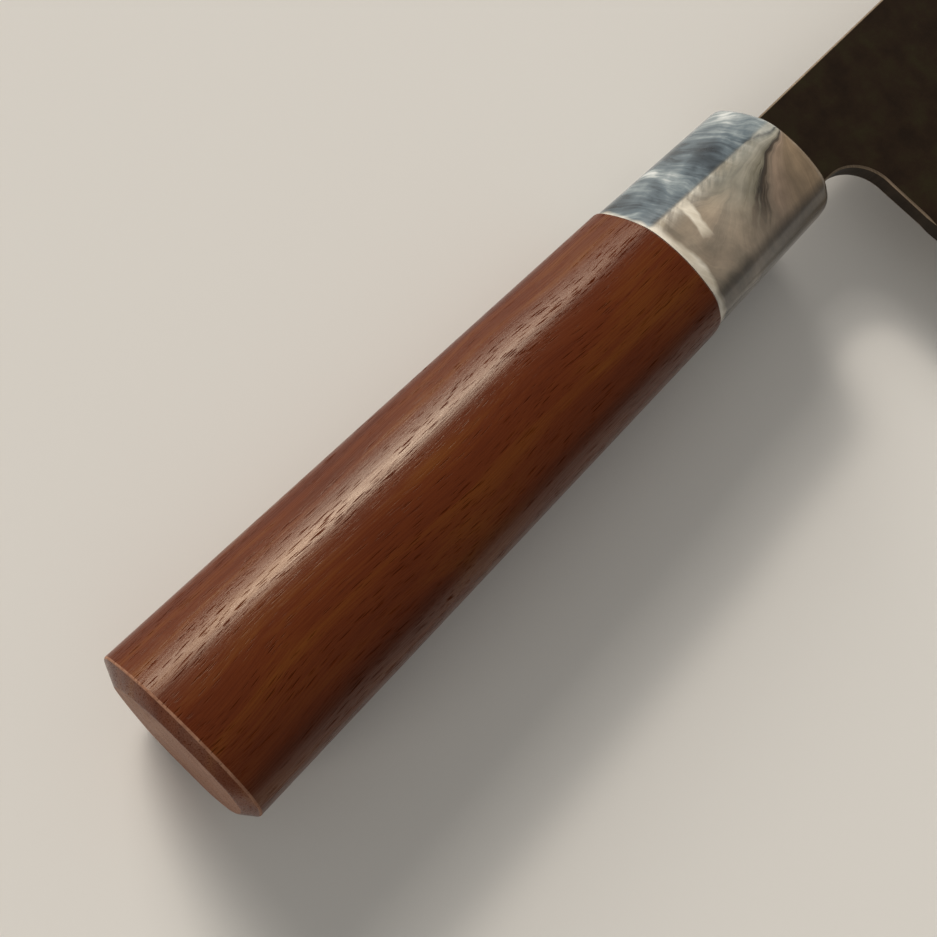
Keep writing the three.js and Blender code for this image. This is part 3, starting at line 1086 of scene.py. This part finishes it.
def finish_piece(
    bm: BMesh, name: str, node: str, materials: Sequence[Material]
) -> Object:
    """Makes a piece of a finished mesh, and lets it stand for a solid.

    Args:
        bm: The finished mesh, which is freed.
        name: Name of the piece.
        node: Solid that the piece stands for.
        materials: Materials in the order of the faces' indices.

    Returns:
        The piece.
    """
    bmesh.ops.recalc_face_normals(bm, faces=bm.faces[:])
    for face in bm.faces:
        face.smooth = True
    for edge in bm.edges:
        first, second = edge.link_faces
        alike = first.material_index == second.material_index
        edge.smooth = alike and edge.calc_face_angle() < SHARP_ANGLE
    mesh = bpy.data.meshes.new(name)
    bm.to_mesh(mesh)
    bm.free()
    for material in materials:
        mesh.materials.append(material)
    piece = bpy.data.objects.new(name, mesh)
    bpy.context.scene.collection.objects.link(piece)
    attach(piece, BODY)
    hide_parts(node)
    log.info("%s stands for %s with %d faces", name, node, len(mesh.polygons))
    return piece


def arc(start: Planar, crest: Planar, end: Planar, share: float) -> Vector:
    """Point on the curve that leaves start towards a crest and comes from there to end."""
    a, b, c = Vector(start), Vector(crest), Vector(end)
    return a.lerp(b, share).lerp(b.lerp(c, share), share)


@dataclass(frozen=True)
class Octagon:
    """Section of the handle: crowned faces, rounded arrises, drawn in more towards the spine."""

    spine_rise: float = 7.2
    butt_spine_run: float = 8.7
    front_spine_run: float = 7.6
    edge_rise: float = 3.7
    butt_edge_run: float = 4.4
    front_edge_run: float = 3.8
    crown_radius: float = 20.5
    arris_setback: float = 1.2
    arris_limit: float = 0.45
    handle_length: float = 127.0
    face_steps: int = 10
    arris_steps: int = 8

    def crown_rise(self, chord: float) -> float:
        """How far a face's arc rises over its chord."""
        return chord ** 2 / (8 * self.crown_radius)

    def corners(self, x: float, height: float, thickness: float, inset: float) -> list[Vector]:
        """Corners of the section, counter-clockwise as seen from the tip.

        Args:
            x: Place along the handle.
            height: From spine to edge, at the crowns.
            thickness: From side to side, at the crowns.
            inset: How far the section is drawn in on every side.

        Returns:
            Eight corners, each with its height and its side.
        """
        share = x / self.handle_length
        loss = inset * (2 - math.sqrt(2))
        spine_run = lerp(self.butt_spine_run, self.front_spine_run, share) - loss
        edge_run = lerp(self.butt_edge_run, self.front_edge_run, share) - loss
        spine_rise = self.spine_rise - loss
        edge_rise = self.edge_rise - loss
        reach = height / 2 - inset
        side = thickness / 2 - inset
        side_corner = side - self.crown_rise(2 * reach - spine_rise - edge_rise)
        right = [
            (reach - self.crown_rise(2 * (side - spine_run)), side - spine_run),
            (reach - spine_rise, side_corner),
            (-reach + edge_rise, side_corner),
            (-reach + self.crown_rise(2 * (side - edge_run)), side - edge_run),
        ]
        left = [(y, -z) for y, z in reversed(right)]
        return [Vector(corner) for corner in right + left]

    def ring(
        self, x: float, height: float, thickness: float, inset: float = 0.0, lift: float = 0.0
    ) -> list[Vector]:
        """Points round the handle at one place.

        Args:
            x: Place along the handle.
            height: From spine to edge, at the crowns.
            thickness: From side to side, at the crowns.
            inset: How far the section is drawn in on every side.
            lift: How far the section is moved towards the spine.

        Returns:
            The points in metres, in turn.
        """
        corners = self.corners(x, height, thickness, inset)
        faces = [self.face(a, b) for a, b in zip(corners, corners[1:] + corners[:1])]
        points = []
        for face, following in zip(faces, faces[1:] + faces[:1]):
            start = self.setback(face)
            for step in range(self.face_steps):
                points.append(arc(*face, lerp(start, 1 - start, step / self.face_steps)))
            leaving = arc(*face, 1 - start)
            reaching = arc(*following, self.setback(following))
            for step in range(self.arris_steps):
                points.append(arc(leaving, face[2], reaching, step / self.arris_steps))
        return [place(x, y + lift, z) for y, z in points]

    def face(self, start: Vector, end: Vector) -> tuple[Vector, Vector, Vector]:
        """Start, crest and end of the crowned face between two corners.

        Args:
            start: Corner at which the face starts.
            end: Corner at which it ends.

        Returns:
            The three points of the face's arc.
        """
        chord = end - start
        outward = Vector((chord.y, -chord.x)).normalized()
        return start, (start + end) / 2 + outward * 2 * self.crown_rise(chord.length), end

    def setback(self, face: tuple[Vector, Vector, Vector]) -> float:
        """Share of a face that its arris takes up at each end."""
        return min(self.arris_limit, self.arris_setback / (face[2] - face[0]).length)


class Grain(IntEnum):
    """Places of the handle's finishes in its list of materials."""

    SIDE = 0
    END = 1
    # Rounded rim of the butt, in paler wood that is a painted highlight
    RIM = 2


@dataclass
class Handle:
    """Wooden handle and resin ferrule on one tapered octagon."""

    octagon: Octagon = field(default_factory=Octagon)
    wood_length: float = 97.0
    ferrule_length: float = 30.0
    butt_height: float = 27.7
    butt_thickness: float = 23.0
    joint_height: float = 25.4
    joint_thickness: float = 21.0
    front_height: float = 23.4
    front_thickness: float = 19.3
    butt_chamfer: float = 1.5
    butt_side_inset: float = 1.5
    butt_spine_inset: float = 3.4
    butt_edge_inset: float = 2.0
    butt_easing: float = 0.2
    joint_easing: float = 0.4
    ferrule_step: float = 0.3
    ferrule_rounding: float = 1.6
    rounding_steps: int = 8
    stations: int = 12
    bore_radius: float = 7.3
    bore_start: float = 24.0
    ferrule_wall: float = 4.0
    wall_draft: float = 0.05
    slot_top: float = 7.4
    slot_bottom: float = -9.6
    slot_half_width: float = 2.8

    def wood_ring(self, x: float, inset: float = 0.0) -> list[Vector]:
        """Ring round the wood.

        Args:
            x: Place along the handle.
            inset: How far the ring is drawn in.

        Returns:
            The ring's points in metres.
        """
        share = (x - self.butt_chamfer) / (self.wood_length - self.butt_chamfer)
        height = lerp(self.butt_height, self.joint_height, share)
        thickness = lerp(self.butt_thickness, self.joint_thickness, share)
        return self.octagon.ring(x, height, thickness, inset)

    def ferrule_ring(self, x: float, inset: float = 0.0) -> list[Vector]:
        """Ring round the ferrule.

        Args:
            x: Place along the handle.
            inset: How far the ring is drawn in.

        Returns:
            The ring's points in metres.
        """
        share = (x - self.wood_length) / self.ferrule_length
        height = lerp(self.joint_height - 2 * self.ferrule_step, self.front_height, share)
        thickness = lerp(self.joint_thickness - 2 * self.ferrule_step, self.front_thickness, share)
        return self.octagon.ring(x, height, thickness, inset)

    def butt_ring(self) -> list[Vector]:
        """Ring round the flat end of the butt.

        Returns:
            The ring's points in metres.
        """
        height = self.butt_height - self.butt_spine_inset - self.butt_edge_inset
        thickness = self.butt_thickness - 2 * self.butt_side_inset
        lift = (self.butt_edge_inset - self.butt_spine_inset) / 2
        return self.octagon.ring(0.0, height, thickness, lift=lift)

    def bearings(self) -> list[float]:
        """Angle at which each point of a ring stands round the axis."""
        axis = place(0.0, 0.0, 0.0)
        return [math.atan2(p.z - axis.z, p.y - axis.y) for p in self.ferrule_ring(self.wood_length)]

    def bore_ring(self, x: float) -> list[Vector]:
        """Ring of the round bore, point for point beside the outer rings."""
        r = self.bore_radius
        return [place(x, r * math.cos(a), r * math.sin(a)) for a in self.bearings()]

    def slot_ring(self, x: float) -> list[Vector]:
        """Ring of the neck's slot, point for point beside the outer rings.

        Args:
            x: Place along the handle.

        Returns:
            The ring's points in metres.
        """
        middle = (self.slot_top + self.slot_bottom) / 2
        half_height = (self.slot_top - self.slot_bottom) / 2
        points = []
        for a in self.bearings():
            up, out = math.cos(a), math.sin(a)
            to_end = half_height / max(abs(up), 1e-6)
            to_side = self.slot_half_width / max(abs(out), 1e-6)
            reach = min(to_end, to_side)
            points.append(place(x, middle + reach * up, reach * out))
        return points

    def build_wood(self, materials: Sequence[Material]) -> Object:
        """Makes the wooden handle with its chamfered butt and its bore.

        Args:
            materials: Materials in the order of Grain.

        Returns:
            The piece.
        """
        bm = bmesh.new()
        end = first_ring(bm, self.butt_ring())
        rim = next_ring(bm, end, self.wood_ring(self.butt_chamfer))
        ring = rim
        shoulder = self.wood_length - self.joint_easing
        for station in range(1, self.stations + 1):
            x = lerp(self.butt_chamfer, shoulder, station / self.stations)
            ring = next_ring(bm, ring, self.wood_ring(x))
        ring = next_ring(bm, ring, self.wood_ring(self.wood_length, self.joint_easing))
        ring = next_ring(bm, ring, self.bore_ring(self.wood_length))
        ring = next_ring(bm, ring, self.bore_ring(self.bore_start))
        cap(bm, ring)
        cap(bm, end)
        # The butt's rounded rim takes the paler wood that is a painted highlight
        for face in soften(bm, ring_edges(bm, rim), self.butt_easing):
            face.material_index = Grain.RIM
        soften(bm, ring_edges(bm, end), self.butt_easing)
        end_plane = place(NEAR, 0.0, 0.0).x
        for face in bm.faces:
            if all(vertex.co.x < end_plane for vertex in face.verts):
                face.material_index = Grain.END
        return finish_piece(bm, "oiled_handle", "handle_body", materials)

    def build_ferrule(self, finish: Finish) -> Object:
        """Makes the ferrule with its rounded front, its slot and its bore.

        Args:
            finish: Finish of the resin.

        Returns:
            The piece.
        """
        front = self.wood_length + self.ferrule_length
        wall = front - self.ferrule_wall
        bm = bmesh.new()
        back = first_ring(bm, self.ferrule_ring(self.wood_length))
        ring = back
        for step in range(self.rounding_steps + 1):
            angle = step / self.rounding_steps * math.pi / 2
            reach = self.ferrule_rounding * (1 - math.sin(angle))
            inset = self.ferrule_rounding * (1 - math.cos(angle))
            ring = next_ring(bm, ring, self.ferrule_ring(front - reach, inset))
        ring = next_ring(bm, ring, self.slot_ring(front))
        ring = next_ring(bm, ring, self.slot_ring(wall))
        ring = next_ring(bm, ring, self.bore_ring(wall - self.wall_draft))
        ring = next_ring(bm, ring, self.bore_ring(self.wood_length))
        bmesh.ops.bridge_loops(bm, edges=ring_edges(bm, ring) + ring_edges(bm, back))
        return finish_piece(bm, "marbled_ferrule", "ferrule", [finish.material()])


class Side(IntEnum):
    """Side of the blade, as the sign of its height."""

    RIGHT = 1
    LEFT = -1


class Skin(IntEnum):
    """Places of a cladding's finishes in its list of materials."""

    FORGED = 0
    GROUND = 1
    SIDE = 2
    RIM = 3


@dataclass
class Blade:
    """Three-layer blade with its neck and its tang."""

    ferrule_front: float = 127.0
    shoulder: float = 124.0
    tang_end: float = 32.0
    tang_end_height: float = 6.0
    tang_root_height: float = 9.0
    tang_end_thickness: float = 2.2
    spine: float = 6.3
    neck_underside: float = -8.5
    heel: float = 141.4
    heel_lean: float = 2.2
    heel_rounding: float = 1.2
    choil_radius: float = 8.0
    tip: float = 306.4
    edge: float = -43.7
    sweep_length: float = 45.0
    sweep_rise: float = 2.2
    tip_lean: float = 4.0
    toe_rounding: float = 2.0
    tip_corner: float = 16.0
    spine_thickness: float = 3.4
    tip_spine_thickness: float = 2.4
    flat_height: float = 33.0
    flat_taper: float = 0.6
    edge_thickness: float = 0.24
    core_thickness: float = 0.9
    cladding_foot: float = 0.001
    easing: float = 0.3
    easing_fade: float = 2.0
    easing_start: float = 1.0
    foot_margin: float = 0.5
    inner_margin: float = 0.05
    stations: int = 8
    arc_steps: int = 24
    corner_steps: int = 8

    @property
    def shinogi(self) -> float:
        """Height of the line between flat and bevel."""
        return self.spine - self.flat_height

    def half_thickness(self, x: float, y: float) -> float:
        """Half of the ground blade's thickness at one place.

        Args:
            x: Place along the knife.
            y: Place from edge to spine.

        Returns:
            The height of the right-hand face over the blade's middle.
        """
        if x < self.shoulder:
            share = (x - self.tang_end) / (self.shoulder - self.tang_end)
            return lerp(self.tang_end_thickness, self.spine_thickness, share) / 2
        neck = (x - self.ferrule_front) / (self.heel - self.ferrule_front)
        taper = self.flat_taper * min(1.0, max(0.0, neck))
        along = min(1.0, max(0.0, (x - self.heel) / (self.tip - self.heel)))
        back = lerp(self.spine_thickness, self.tip_spine_thickness, along) / 2
        low = back - taper / 2
        if y >= self.shinogi:
            return lerp(back, low, (self.spine - y) / self.flat_height)
        (heel_x, heel_y), (front_x, front_y) = self.parting_line()
        bare = lerp(heel_y, front_y, (x - heel_x) / (front_x - heel_x))
        inner = self.core_thickness / 2
        if y >= bare:
            return lerp(low, inner, (self.shinogi - y) / (self.shinogi - bare))
        return lerp(inner, self.edge_thickness / 2, (bare - y) / (bare - self.edge))

    def parting(self, x: float) -> float:
        """Height at which the bevel lays the core bare.

        Args:
            x: Place along the knife.

        Returns:
            The height from edge to spine.
        """
        low = self.half_thickness(x, self.shinogi)
        thin = self.edge_thickness / 2
        share = (self.core_thickness / 2 - thin) / (low - thin)
        return lerp(self.edge, self.shinogi, share)

    def parting_line(self) -> list[Point]:
        """Line along which the core comes out of the claddings.

        Returns:
            The line's ends at the heel and at the front.
        """
        heel_foot = self.parting(self.heel)
        front_foot = self.parting(self.tip)
        return [(self.heel_at(heel_foot), heel_foot), (self.front_at(front_foot), front_foot)]

    def heel_at(self, y: float) -> float:
        """Place of the heel's line at one height.

        Args:
            y: Place from edge to spine.

        Returns:
            The place along the knife.
        """
        top = self.neck_underside - self.choil_radius
        foot = self.edge + self.heel_rounding
        return lerp(self.heel, self.heel + self.heel_lean, (top - y) / (top - foot))

    def front_at(self, y: float) -> float:
        """Place of the front line at one height.

        Args:
            y: Place from edge to spine.

        Returns:
            The place along the knife.
        """
        top = self.spine - self.tip_corner
        foot = self.edge + self.sweep_rise + self.toe_rounding
        return lerp(self.tip - self.tip_lean, self.tip, (top - y) / (top - foot))

    @staticmethod
    def curve(start: Point, crest: Point, end: Point, steps: int) -> list[Point]:
        """Points of a curve from start to end that leans towards a crest."""
        return [tuple(arc(start, crest, end, step / steps)) for step in range(steps + 1)]

    def upper_outline(self) -> list[Point]:
        """Outline from the front of the blade over the spine, the tang and the choil to the heel.

        Returns:
            The outline's points in turn.
        """
        top = self.tip - self.tip_lean
        corner_start = (top, self.spine - self.tip_corner)
        corner_end = (top - self.tip_corner, self.spine)
        points = self.curve(corner_start, (top, self.spine), corner_end, self.arc_steps)
        points += [
            (self.shoulder, self.spine),
            (self.shoulder, self.tang_root_height / 2),
            (self.tang_end, self.tang_end_height / 2),
            (self.tang_end, -self.tang_end_height / 2),
            (self.shoulder, -self.tang_root_height / 2),
            (self.shoulder, self.neck_underside),
        ]
        r = self.choil_radius
        for step in range(self.arc_steps + 1):
            a = math.pi / 2 * (1 - step / self.arc_steps)
            x = self.heel - r + r * math.cos(a)
            points.append((x, self.neck_underside - r + r * math.sin(a)))
        return points

    def lower_outline(self) -> list[Point]:
        """Outline from the heel along the edge to the front of the blade.

        Returns:
            The outline's points in turn.
        """
        foot = self.heel + self.heel_lean
        sweep = self.tip - self.sweep_length
        toe = self.edge + self.sweep_rise
        toe_start = (self.tip - self.toe_rounding, toe)
        toe_end = (self.tip, toe + self.toe_rounding)
        heel_start = (foot, self.edge + self.heel_rounding)
        heel_end = (foot + self.heel_rounding, self.edge)
        sweep_crest = ((sweep + self.tip) / 2, self.edge)
        points = self.curve(heel_start, (foot, self.edge), heel_end, self.corner_steps)
        points += self.curve((sweep, self.edge), sweep_crest, toe_start, self.arc_steps)
        points += self.curve(toe_start, (self.tip, toe), toe_end, self.corner_steps)[1:]
        return points

    def slab(self, outline: Sequence[Point], low: Height, high: Height) -> BMesh:
        """Makes a layer that fills an outline between two surfaces.

        Args:
            outline: The layer's outline in turn.
            low: Height of its lower surface at a place.
            high: Height of its upper surface at a place.

        Returns:
            The layer's mesh.
        """
        bm = bmesh.new()
        cap(bm, first_ring(bm, [Vector((x, y, 0.0)) for x, y in outline]))
        raised = bmesh.ops.extrude_face_region(bm, geom=bm.faces[:])["geom"]
        upper = [part for part in raised if isinstance(part, BMVert)]
        bmesh.ops.translate(bm, vec=(0.0, 0.0, 1.0), verts=upper)
        (heel_x, heel_y), (front_x, front_y) = self.parting_line()
        cuts = [
            ((heel_x, heel_y, 0), (heel_y - front_y, front_x - heel_x, 0)),
            ((self.ferrule_front, 0, 0), (1, 0, 0)),
            ((self.heel, 0, 0), (1, 0, 0)),
            ((0, self.shinogi + self.easing_fade, 0), (0, 1, 0)),
            ((0, self.shinogi, 0), (0, 1, 0)),
        ]
        for station in range(1, self.stations):
            x = lerp(self.heel, self.tip - self.tip_corner, station / self.stations)
            cuts.append(((x, 0, 0), (1, 0, 0)))
        for point, normal in cuts:
            whole = bm.verts[:] + bm.edges[:] + bm.faces[:]
            bmesh.ops.bisect_plane(bm, geom=whole, dist=NEAR / 2, plane_co=point, plane_no=normal)
        for vertex in bm.verts:
            x, y, z = vertex.co
            vertex.co = place(x, y, high(x, y) if z > 0.5 else low(x, y))
        bmesh.ops.recalc_face_normals(bm, faces=bm.faces[:])
        return bm

    def build_cladding(
        self, side: Side, name: str, node: str, materials: Sequence[Material]
    ) -> Object:
        """Makes one of the two outer layers.

        Args:
            side: Side of the blade.
            name: Name of the piece.
            node: Solid that the piece stands for.
            materials: Materials in the order of Skin.

        Returns:
            The piece.
        """
        inner = self.core_thickness / 2
        thinnest = inner + self.cladding_foot
        bm = self.slab(
            self.upper_outline() + self.parting_line(),
            lambda x, y: side * inner,
            lambda x, y: side * max(thinnest, self.half_thickness(x, y)),
        )
        bevel_top = place(0.0, self.shinogi, 0.0).y
        for face in bm.faces:
            if abs(face.normal.z) < BROAD:
                face.material_index = Skin.SIDE
            elif face.calc_center_median().y < bevel_top:
                face.material_index = Skin.GROUND
            else:
                face.material_index = Skin.FORGED
        self.ease_rim(bm, side)
        return finish_piece(bm, name, node, materials)

    def ease_rim(self, bm: BMesh, side: Side) -> None:
        """Rounds a layer's outer rim from the ferrule down to the bevel, where it runs out.

        Args:
            bm: Mesh of the layer.
            side: Side of the blade.
        """
        start = place(self.ferrule_front - self.easing_start, 0.0, 0.0).x
        foot = place(0.0, self.shinogi - self.foot_margin, 0.0).y
        outer = place(0.0, 0.0, side * (self.core_thickness / 2 + self.inner_margin)).z
        rim = [
            edge
            for edge in bm.edges
            if edge.calc_face_angle() > RIM_ANGLE
            and all(v.co.x > start and v.co.y > foot for v in edge.verts)
            and all((v.co.z - outer) * side > 0 for v in edge.verts)
        ]
        at_rim = {vertex for edge in rim for vertex in edge.verts}
        ends = [vertex.co.copy() for vertex in self.at_shinogi(bm) if vertex in at_rim]
        for face in soften(bm, rim, self.easing):
            face.material_index = Skin.RIM
        for end in ends:
            reach = 2 * self.easing * MM
            near = [v for v in self.at_shinogi(bm) if (v.co - end).length < reach]
            near = [vertex for vertex in near if (vertex.co.z - outer) * side > 0]
            bmesh.ops.pointmerge(bm, verts=near, merge_co=end)

    def at_shinogi(self, bm: BMesh) -> Ring:
        """Vertices of a layer that lie on the line between flat and bevel."""
        line = place(0.0, self.shinogi, 0.0).y
        return [vertex for vertex in bm.verts if abs(vertex.co.y - line) < NEAR * MM]

    def build_core(self, materials: Sequence[Material]) -> Object:
        """Makes the hard core, bare along the edge.

        Args:
            materials: Materials of the ground faces and of the sides.

        Returns:
            The piece.
        """
        inner = self.core_thickness / 2
        bm = self.slab(
            self.upper_outline() + self.lower_outline(),
            lambda x, y: -min(inner, self.half_thickness(x, y)),
            lambda x, y: min(inner, self.half_thickness(x, y)),
        )
        bevel_top = place(0.0, self.shinogi, 0.0).y
        for face in bm.faces:
            honed = face.normal.y < HONED and face.calc_center_median().y < bevel_top
            face.material_index = int(abs(face.normal.z) < BROAD and not honed)
        return finish_piece(bm, "steel_core", "blade_core", materials)


@dataclass(frozen=True)
class Lamp:
    """Soft studio lamp, so far off that it lights the whole floor evenly."""

    name: str
    direction: Size
    spread: float
    strength: float
    colour: str

    def build(self) -> Object:
        """Makes the lamp.

        Returns:
            The lamp.
        """
        data = bpy.data.lights.new(self.name, "SUN")
        data.energy = self.strength
        data.angle = math.radians(self.spread)
        data.color = linear(self.colour)[:3]
        lamp = bpy.data.objects.new(self.name, data)
        lamp.rotation_euler = Vector(self.direction).to_track_quat("Z", "Y").to_euler()
        bpy.context.scene.collection.objects.link(lamp)
        return lamp


@dataclass
class Studio:
    """Pale floor, soft light and the camera."""

    floor_colour: str = "#e6e3de"
    floor_size: float = 40000.0
    floor_roughness: float = 0.85
    world_colour: str = "#f2f1ee"
    world_strength: float = 0.26
    horizon_strength: float = 0.68
    horizon_rise: float = 0.15
    lens_pixels: float = 1356.4
    picture_width: float = 937.0
    sensor_width: float = 36.0
    nearest: float = 0.01
    camera_position: Size = (-15.71, 1.61, 175.35)
    camera_right: Size = (0.66151, -0.6975, 0.27549)
    camera_up: Size = (0.65172, 0.71643, 0.24897)
    lamps: tuple[Lamp, ...] = (
        Lamp("spine_side_softbox", (0.31, 0.85, 0.43), 30.0, 2.4, "#fffaf2"),
        Lamp("strip_near_butt", (0.2234, 0.8531, 0.4679), 5.3, 0.28, "#fff6ea"),
        Lamp("strip_middle", (0.2965, 0.8296, 0.473), 5.3, 0.42, "#fff6ea"),
        Lamp("strip_near_blade", (0.3696, 0.8061, 0.4781), 5.3, 0.42, "#fff6ea"),
        Lamp("butt_side_softbox", (-0.93, 0.12, 0.35), 30.0, 0.8, "#fff8ee"),
    )

    def build(self) -> None:
        """Makes floor, world, lamps and camera."""
        self.build_floor()
        self.build_world()
        for lamp in self.lamps:
            lamp.build()
        self.build_camera()
        bpy.context.scene.view_settings.view_transform = "Standard"

    def build_floor(self) -> None:
        """Makes the plain pale floor that the knife lies on."""
        bm = bmesh.new()
        bmesh.ops.create_grid(bm, x_segments=1, y_segments=1, size=self.floor_size / 2 * MM)
        mesh = bpy.data.meshes.new("floor")
        bm.to_mesh(mesh)
        bm.free()
        material = bpy.data.materials.new("matte_pale_floor")
        material.use_nodes = True
        shader = material.node_tree.nodes["Principled BSDF"]
        shader.inputs["Base Color"].default_value = linear(self.floor_colour)
        shader.inputs["Roughness"].default_value = self.floor_roughness
        mesh.materials.append(material)
        floor = bpy.data.objects.new("floor", mesh)
        floor.location.z = CAD_BOX[0].z
        bpy.context.scene.collection.objects.link(floor)

    def build_world(self) -> None:
        """Makes the even light that fills the shadows and is brighter towards the horizon."""
        world = bpy.data.worlds.new("studio")
        world.use_nodes = True
        tree = world.node_tree
        background = tree.nodes["Background"]
        background.inputs["Color"].default_value = linear(self.world_colour)
        towards = add_node(tree, Kind.COORDINATES).outputs["Object"]
        rise = add_node(tree, Kind.SPLIT, links={0: towards}).outputs[2]
        fade = limits(0.0, self.horizon_rise, self.horizon_strength, self.world_strength)
        strength = add_node(tree, Kind.RANGE, fade, {"Value": rise})
        tree.links.new(strength.outputs[0], background.inputs["Strength"])
        bpy.context.scene.world = world

    def build_camera(self) -> None:
        """Makes the camera at the picture's viewing angle."""
        data = bpy.data.cameras.new("camera")
        data.sensor_width = self.sensor_width
        data.lens = self.lens_pixels / self.picture_width * self.sensor_width
        data.clip_start = self.nearest
        camera = bpy.data.objects.new("camera", data)
        right = Vector(self.camera_right)
        up = Vector(self.camera_up)
        turned = Matrix((right, up, right.cross(up))).transposed().to_4x4()
        camera.matrix_world = Matrix.Translation(place(*self.camera_position)) @ turned
        bpy.context.scene.collection.objects.link(camera)
        bpy.context.scene.camera = camera


def dress_node(node: str, finish: Finish) -> None:
    """Gives a solid that stays in view its finish.

    Args:
        node: Name of the solid.
        finish: Its finish.
    """
    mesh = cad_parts[node].data
    mesh.materials.clear()
    mesh.materials.append(finish.material())
    log.info("%s keeps its solid in %s", node, finish.name)


def main() -> None:
    """Builds the studio and the knife."""
    logging.basicConfig(level=logging.INFO, format="%(name)s: %(message)s")
    Studio().build()
    handle = Handle()
    woods = [
        OiledHardwood("oiled_red_hardwood").material(),
        # End grain paler partly by its own colour and partly as painted sheen; the rim's paler wood
        # is a painted highlight
        OiledHardwood("oiled_red_hardwood_end_grain", pale_share=0.55).material(),
        OiledHardwood("red_hardwood_rim_painted_highlight", pale_share=0.7).material(),
    ]
    handle.build_wood(woods)
    handle.build_ferrule(MarbledResin("marbled_pearl_resin"))
    blade = Blade()
    ground_iron = LayeredSteel(
        "ground_iron",
        light="#94918b",
        shade="#7d7a74",
        roughness=0.4,
        over_light="#2b2014",
        over_shade="#22180e",
        seam="#5d5850",
        border=blade.shinogi - 0.8,
        wave=1.6,
        wave_length=3.0,
    )
    skins = [
        ForgedIron("forge_skin_iron").material(),
        ground_iron.material(),
        GroundSteel("dull_iron_sides", "#40362c", "#322a22", 0.5).material(),
        GroundSteel("rubbed_iron_rim", "#8a7865", "#726350", 0.4).material(),
    ]
    blade.build_cladding(Side.RIGHT, "forged_cladding_right", "cladding_right", skins)
    blade.build_cladding(Side.LEFT, "forged_cladding_left", "cladding_left", skins)
    steel = LayeredSteel("ground_core_steel", "#c3c1bc", "#aaa8a3", 0.36)
    blade.build_core([steel.material(), skins[Skin.SIDE]])
    fills = {
        "tang_dowel": PlainFill("turned_pale_wood", "#c7a377", "#b08a5e", 0.6, (10.0, 0.7, 0.7)),
        "tang_adhesive": PlainFill("cast_amber_resin", "#c9b27a", "#b99f63", 0.3, (2.5, 2.5, 2.5)),
        "slot_seal": PlainFill("dark_wax_seal", "#332c27", "#231e1a", 0.5, (1.2, 1.2, 1.2)),
    }
    for node, finish in fills.items():
        dress_node(node, finish)


if __name__ == "__main__":
    main()
